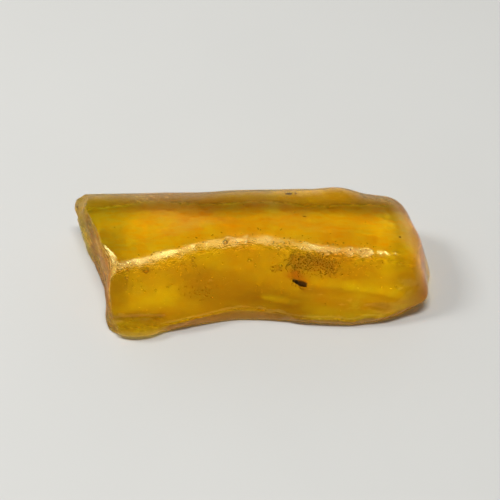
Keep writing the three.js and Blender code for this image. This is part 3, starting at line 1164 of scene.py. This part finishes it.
@dataclass(frozen=True)
class Hollows:
    """The air sealed in the resin: the bubbles that show, finer ones, and flat cracks that flash."""

    bubbles: tuple[Bubble, ...] = (
        Bubble((-24.3, -8.1, 11.7), 0.45),
        Bubble((-23.9, -6.9, 12.7), 0.32),
        Bubble((-20.4, -6.7, 12.3), 0.7),
        Bubble((-16.2, -4.1, 13.7), 0.26),
        Bubble((-11.3, -3.8, 12.9), 0.4),
        Bubble((-5.1, -0.5, 14.1), 0.55),
        Bubble((-0.4, -3.4, 11.5), 0.34),
        Bubble((3.6, -1.8, 13.5), 0.28),
        Bubble((5.4, -1.7, 13.8), 0.45),
        Bubble((5.7, -4.3, 11.0), 0.42),
    )
    # Painted shade: the dark ring tinted round each bubble's rim.
    rim: Tint = (0.2, 0.09, 0.02)
    fine_bubbles: int = 14
    fine_radius: Pair = (0.06, 0.16)
    fine_depth: Pair = (0.2, 2.5)
    cracks: int = 450
    crack_sides: int = 7
    crack_radius: Pair = (0.1, 0.34)
    crack_depth: Pair = (0.05, 0.9)
    crack_ragged: Pair = (0.6, 1.1)
    crack_narrow: float = 0.6
    crack_thickness: float = 0.05
    off_crest: float = 0.03
    behind_crest: float = 0.2
    seed: int = 7

    def add_to(self, heap: MeshHeap, skin: np.ndarray, normals: np.ndarray) -> np.ndarray:
        """Adds every hollow to the lump's mesh, its faces turned in. Most cracks lie near the crest.

        Args:
            heap: the mesh so far.
            skin: points of the skin, in millimetres.
            normals: the way the skin faces there.

        Returns:
            The tint of each point added, one a row: painted shade round the rims of the bubbles, or else
                none.
        """
        rng = np.random.default_rng(self.seed)
        shape, faces = ball(11, 18)
        tints = []
        for bubble in self.bubbles:
            i = int(np.argmin(np.linalg.norm(skin - bubble.at, axis=1)))
            middle = skin[i] - normals[i] * (bubble.depth + bubble.radius)
            heap.add(middle + shape * bubble.radius, faces, inward=True)
            # Painted shade: the bubble's skin is tinted dark where it turns edge-on.
            rim = ease((0.75 - np.abs(shape @ normals[i])) / 0.3)[:, None]
            tints.append(1 - rim * (1 - np.array(self.rim)))
        begun = heap.count
        top = np.flatnonzero((normals[:, 2] > 0.3) & (np.abs(skin[:, 0]) < 30))
        small, small_faces = ball(4, 8)
        for i in rng.choice(top, self.fine_bubbles, replace=False):
            radius = rng.uniform(*self.fine_radius)
            middle = skin[i] - normals[i] * (radius + rng.uniform(*self.fine_depth))
            heap.add(middle + small * radius, small_faces, inward=True)
        fewer = np.where(normals[top, 1] > -0.15, self.behind_crest, 1.0)
        weight = (self.off_crest + CREST_LINE.share(skin[top])) * fewer
        for i in rng.choice(top, self.cracks, replace=False, p=weight / weight.sum()):
            radius = rng.uniform(*self.crack_radius)
            middle = skin[i] - normals[i] * (radius + rng.uniform(*self.crack_depth))
            heap.add(*self.crack(middle, radius, rng), inward=True)
        return np.vstack([*tints, np.ones((heap.count - begun, 3))])

    def crack(self, middle: np.ndarray, radius: float, rng: np.random.Generator) -> Shape:
        """One flat, lens-shaped crack that lies at a random slant.

        Args:
            middle: where it is.
            radius: its radius.
            rng: the random numbers.

        Returns:
            The points and faces.
        """
        across = rng.normal(size=3)
        across /= np.linalg.norm(across)
        u = np.cross(across, rng.normal(size=3))
        u /= np.linalg.norm(u)
        v = np.cross(across, u)
        turn = even_turns(self.crack_sides)
        reach = radius * rng.uniform(*self.crack_ragged, self.crack_sides)
        along, aside = reach * np.cos(turn), self.crack_narrow * (reach * np.sin(turn))
        rim = middle + along[:, None] * u + aside[:, None] * v
        half = across * self.crack_thickness / 2
        points = np.vstack([rim, [middle + half, middle - half]])
        over, below = self.crack_sides, self.crack_sides + 1
        faces: Faces = []
        for j in range(self.crack_sides):
            after = (j + 1) % self.crack_sides
            faces += [(over, j, after), (below, after, j)]
        return points, faces


@dataclass
class CopalLump:
    """The clear lump: its form, fine skin and hollows, as one piece in place of both halves."""

    form: LumpForm = field(default_factory=LumpForm)
    relief: SurfaceRelief = field(default_factory=SurfaceRelief)
    paint_job: SkinPaint = field(default_factory=SkinPaint)
    hollows: Hollows = field(default_factory=Hollows)
    finish: ResinFinish = field(default_factory=ResinFinish)
    halves: tuple[str, str] = ("copal_lower_half", "copal_upper_half")
    flat_below: float = 0.02
    hollow_wear: Point = (0.02, 0.0, 0.0)
    offset: np.ndarray = field(default_factory=lambda: np.zeros(3))
    scale: float = 1.0
    skin: np.ndarray = field(default_factory=lambda: np.zeros((0, 3)))
    normals: np.ndarray = field(default_factory=lambda: np.zeros((0, 3)))

    def fit(self) -> None:
        """Finds the move, and the slight shrinking, that put the skin in the solids' box."""
        corners = np.array([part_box(name) for name in self.halves])
        low, high = corners[:, 0].min(axis=0), corners[:, 1].max(axis=0)
        self.scale = float(min(1.0, np.min((high - low) / (np.ptp(self.skin, axis=0) * MM))))
        middle = (self.skin.min(axis=0) + self.skin.max(axis=0)) / 2 * MM * self.scale
        self.offset = np.array([*((low + high) / 2 - middle)[:2], 0.0])

    def placed(self, points: np.ndarray) -> np.ndarray:
        """Places of the form's own frame, in millimetres, as metres in the shared frame."""
        return np.asarray(points, float) * MM * self.scale + self.offset

    def build(self) -> bpy.types.Object:
        """Builds and dresses the lump.

        Returns:
            The lump's object.
        """
        points, faces = LumpMesher(self.form).build()
        self.normals = self.form.normals(points)
        sunk = self.relief.depth(points, self.normals, self.form)
        sunk *= points[:, 2] > self.flat_below
        self.skin = points - self.normals * sunk[:, None]
        self.fit()
        heap = MeshHeap()
        heap.add(self.skin, faces)
        inner = self.hollows.add_to(heap, self.skin, self.normals)
        places = self.placed(heap.all_points())
        lump = make_piece("copal_lump", places, heap.faces, self.finish.material())
        tint = self.paint_job.tint(points, self.normals)
        wear = self.paint_job.wear(points, self.normals)
        # The hollows' tints carry the painted shade round the bubbles' rims.
        paint(lump, TINT, np.vstack([tint, inner]))
        paint(lump, WEAR, np.vstack([wear, np.tile(self.hollow_wear, (len(inner), 1))]))
        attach(lump, BODY)
        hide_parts(*self.halves)
        return lump


@dataclass
class PlantDust:
    """Dark grains of plant dust and a few flecks of bark, sealed just under the skin."""

    lump: CopalLump
    finish: DustFinish = field(default_factory=DustFinish)
    patches: tuple[tuple[Trail, int], ...] = (
        (Trail(((8.4, -4.1, 12), (11.7, -4.2, 12.2), (15.2, -4.9, 11.7)), 3.6), 520),
        (Trail(((4.7, -4.5, 10.6),), 1.8), 30),
        (Trail(((-13, -7.4, 7.4), (-8.4, -7.4, 6.6)), 3.2), 70),
        (Trail(((-30, 0, 14), (30, 0, 14)), 14), 4),
    )
    flecks: tuple[tuple[Point, Point], ...] = (
        ((7.5, 12.1, 14.7), (0.7, 0.3, 0.2)),
        ((9.0, 12.0, 14.8), (0.3, 0.16, 0.12)),
        ((29.2, 1.5, 12.9), (0.26, 0.18, 0.12)),
        ((10.7, 5.6, 14.9), (0.34, 0.14, 0.1)),
        ((-36.0, 13.2, 9.5), (0.2, 0.3, 0.2)),
    )
    grain_size: Pair = (0.04, 0.12)
    grain_stretch: Pair = (0.6, 1.5)
    grain_depth: Pair = (0.3, 0.9)
    grain_shift: float = 0.12
    fleck_depth: float = 0.08
    fleck_rough: float = 0.25
    fleck_wave: float = 0.6
    seed: int = 19

    def build(self) -> bpy.types.Object:
        """Builds and dresses the dust.

        Returns:
            The dust's object.
        """
        rng = np.random.default_rng(self.seed)
        heap = MeshHeap()
        skin, normals = self.lump.skin, self.lump.normals
        seen = np.flatnonzero(normals[:, 2] > 0.1)
        shape, faces = ball(2, 5)
        for patch, count in self.patches:
            weight = patch.share(skin[seen]) ** 1.5
            for i in rng.choice(seen, count, replace=False, p=weight / weight.sum()):
                size = rng.uniform(*self.grain_size) * rng.uniform(*self.grain_stretch, 3)
                middle = skin[i] - normals[i] * rng.uniform(*self.grain_depth)
                middle += rng.uniform(-self.grain_shift, self.grain_shift, 3)
                heap.add(middle + shape * size, faces)
        shape, faces = ball(7, 12)
        for at, size in self.flecks:
            i = int(np.argmin(np.linalg.norm(skin - at, axis=1)))
            rough = 1 + self.fleck_rough * smooth_noise(shape + at, self.fleck_wave, self.seed)
            middle = skin[i] - normals[i] * (max(size[1:]) + self.fleck_depth)
            heap.add(middle + shape * size * rough[:, None], faces)
        places = self.lump.placed(heap.all_points())
        dust = make_piece("plant_dust", places, heap.faces, self.finish.material())
        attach(dust, BODY)
        return dust


@dataclass
class SealedInsect:
    """The small dark insect in the resin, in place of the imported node.

    Its own frame has X along the body with the head at the low end, and Z up through its back.
    Each leg is given by where its start, knee and foot are along the body.
    """

    lump: CopalLump
    node: str = "insect"
    at: Point = (9.6, -4.4, 6.5)
    turn: float = -34
    finish: ChitinFinish = field(default_factory=ChitinFinish)
    dark: Tint = (0.02, 0.011, 0.006)
    pale: Tint = (0.13, 0.1, 0.08)
    legs: tuple[Point, ...] = ((-0.95, -1.25, -1.5), (-0.62, -0.5, -0.2), (-0.3, 0.45, 1.1))
    limb_sides: int = 7
    wing_size: Point = (1.1, 0.34, 0.03)
    wing_spread: float = 5
    heap: MeshHeap = field(default_factory=MeshHeap)
    colours: list[np.ndarray] = field(default_factory=list)

    def add(self, points: np.ndarray, faces: Faces, colour: Tint) -> None:
        """Adds one part in its colour."""
        self.heap.add(points, faces)
        self.colours.append(np.tile(colour, (len(points), 1)))

    def egg(self, at: Point, size: Point, colour: Tint) -> None:
        """Adds an egg-shaped part."""
        points, faces = ball(12, 18)
        self.add(points * size + at, faces, colour)

    def limb(self, path: tuple[Point, ...], thick: float, thin: float) -> None:
        """Adds a leg or feeler that thins out along its path.

        Args:
            path: the places it bends at.
            thick: its radius at the start.
            thin: its radius at the end.
        """
        places = np.array(path, float)
        reach = np.linspace(thick, thin, len(places))
        turn = even_turns(self.limb_sides)
        rings = []
        for i, place in enumerate(places):
            way = places[min(i + 1, len(places) - 1)] - places[max(i - 1, 0)]
            u = np.cross(way, (0.3, 0.2, 1.0))
            u /= np.linalg.norm(u)
            v = np.cross(way, u) / np.linalg.norm(way)
            rings.append(place + reach[i] * (np.outer(np.cos(turn), u) + np.outer(np.sin(turn), v)))
        points = np.vstack([*rings, [places[0], places[-1]]])
        self.add(points, stitched(len(places), self.limb_sides), self.dark)

    def abdomen(self) -> None:
        """Adds the abdomen, pinched between its rings of plates."""
        t = np.linspace(0.02, 0.98, 40)
        pinched = 1 - 0.07 * np.abs(np.sin(6 * math.pi * t)) ** 6
        radius = 0.52 * np.sin(math.pi * t**0.8) ** 0.62 * pinched
        points, faces = turned(-0.45 + 2.15 * t, radius, (-0.45, 1.72), 20)
        self.add(points * (1, 1, 0.88), faces, self.dark)

    def wing(self, side: int) -> None:
        """Adds a folded wing, a thin leaf over the abdomen.

        Args:
            side: 1 or -1, for its side of the body.
        """
        points, faces = ball(14, 16)
        points = points * self.wing_size
        points[:, 2] += 0.5 - 0.5 * points[:, 1] ** 2 - 0.05 * points[:, 0] ** 2
        points[:, 1] += side * 0.2
        self.add(spun(points, self.wing_spread * side) + (0.72, 0, 0), faces, self.pale)

    def build(self) -> bpy.types.Object:
        """Builds and dresses the insect.

        Returns:
            The insect's object.
        """
        self.egg((-1.33, 0, -0.02), (0.36, 0.33, 0.31), self.dark)
        self.egg((-0.62, 0, 0.06), (0.56, 0.44, 0.43), self.dark)
        self.abdomen()
        for side in (-1, 1):
            self.egg((-1.42, side * 0.24, 0.07), (0.15, 0.12, 0.16), self.dark)
            self.wing(side)
            self.limb((
                (-1.6, side * 0.1, 0.05), (-1.95, side * 0.25, 0.2), (-2.2, side * 0.45, 0.1),
            ), 0.035, 0.02)
            for start, knee, foot in self.legs:
                self.limb((
                    (start, side * 0.3, -0.2), (knee, side * 0.72, -0.1),
                    ((knee + foot) / 2, side * 0.86, -0.45), (foot, side * 0.7, -0.66),
                ), 0.07, 0.025)
        places = self.lump.placed(spun(self.heap.all_points(), self.turn) + self.at)
        insect = make_piece("sealed_insect", places, self.heap.faces, self.finish.material())
        paint(insect, TINT, np.vstack(self.colours))
        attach(insect, BODY)
        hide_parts(self.node)
        return insect


@dataclass(frozen=True)
class Lamp:
    """A soft rectangular light that faces the lump: its place, size, power and colour."""

    name: str
    place: Point
    size: Pair
    power: float
    colour: Tint = (1.0, 0.995, 0.975)

    def hang(self) -> None:
        """Adds the light to the scene."""
        data = bpy.data.lights.new(self.name, "AREA")
        data.shape = "RECTANGLE"
        data.size, data.size_y = self.size
        data.energy = self.power
        data.color = self.colour
        lamp = bpy.data.objects.new(self.name, data)
        lamp.location = self.place
        lamp.rotation_euler = (-Vector(self.place)).to_track_quat("-Z", "Y").to_euler()
        bpy.context.scene.collection.objects.link(lamp)


@dataclass
class Studio:
    """The plain floor, the soft light and the camera at the photograph's viewing angle.

    The camera looks at a place that is given in the lump form's own frame.
    """

    lump: CopalLump
    target: Point = (-0.3, 2.23, 8.5)
    elevation: float = 48
    distance: float = 320
    frame_width: float = 100
    sensor: float = 36
    finish: FloorFinish = field(default_factory=FloorFinish)
    lamps: tuple[Lamp, ...] = (
        Lamp("overhead_strip", (-0.01, -0.1, 0.75), (0.34, 0.09), 3.6),
        Lamp("left_window", (-0.48, 0.07, 0.5), (0.18, 0.18), 2.0),
    )
    back_wall: float = 1.05
    side_wall: float = 0.68
    room_level: float = 0.11

    def floor(self) -> None:
        """Lays the floor just under the lump."""
        half, below = 1.5, -0.05 * MM
        corners = [(-half, -half), (half, -half), (half, half), (-half, half)]
        points = np.array([(x, y, below) for x, y in corners])
        make_piece("floor", points, [(0, 1, 2, 3)], self.finish.material())

    def room(self) -> None:
        """Makes the room's soft light: a pale low wall at the back and one at the left of a dim room."""
        world = bpy.data.worlds.new("soft_room")
        world.use_nodes = True
        sketch = NodeSketch(world.node_tree)
        split = sketch.node("SeparateXYZ", {0: sketch.node("TexCoord").outputs["Generated"]})
        x, y, z = split.outputs
        # Each wall's light fades towards its sides and upwards, and is added to the rest.
        back = sketch.ramp(y, 0.2, 0.85, 0.0, self.back_wall)
        light = sketch.math("MULTIPLY_ADD", back, sketch.ramp(z, 0.3, 0.75, 1.0, 0.0), self.room_level)
        left = sketch.ramp(x, -0.9, -0.5, self.side_wall, 0.0)
        light = sketch.math("MULTIPLY_ADD", left, sketch.ramp(z, 0.4, 0.8, 1.0, 0.0), light)
        sky = sketch.tree.nodes["Background"]
        sketch.feed(sky.inputs["Color"], (1.0, 1.0, 0.99, 1))
        sketch.feed(sky.inputs["Strength"], light)
        bpy.context.scene.world = world

    def camera(self) -> None:
        """Sets the camera at the photograph's angle."""
        data = bpy.data.cameras.new("camera")
        data.sensor_width = self.sensor
        data.lens = self.sensor * self.distance / self.frame_width
        data.clip_start = 0.01
        camera = bpy.data.objects.new("camera", data)
        tilt = math.radians(self.elevation)
        back = Vector((0, -math.cos(tilt), math.sin(tilt))) * self.distance * MM
        camera.location = Vector(self.lump.placed(self.target)) + back
        camera.rotation_euler = (-back).to_track_quat("-Z", "Y").to_euler()
        bpy.context.scene.collection.objects.link(camera)
        bpy.context.scene.camera = camera

    def build(self) -> None:
        """Builds the whole studio."""
        self.floor()
        self.room()
        for lamp in self.lamps:
            lamp.hang()
        self.camera()
        bpy.context.scene.view_settings.view_transform = "Standard"


def main() -> None:
    """Builds every piece in order and reports each."""
    logging.basicConfig(level=logging.INFO, format="%(name)s: %(message)s")
    lump = CopalLump()
    for build in (lump.build, PlantDust(lump).build, SealedInsect(lump).build):
        piece = build()
        log.info("%s: %d faces", piece.name, len(piece.data.polygons))
    log.info("the lump is drawn to %.4f of its size", lump.scale)
    Studio(lump).build()


if __name__ == "__main__":
    main()
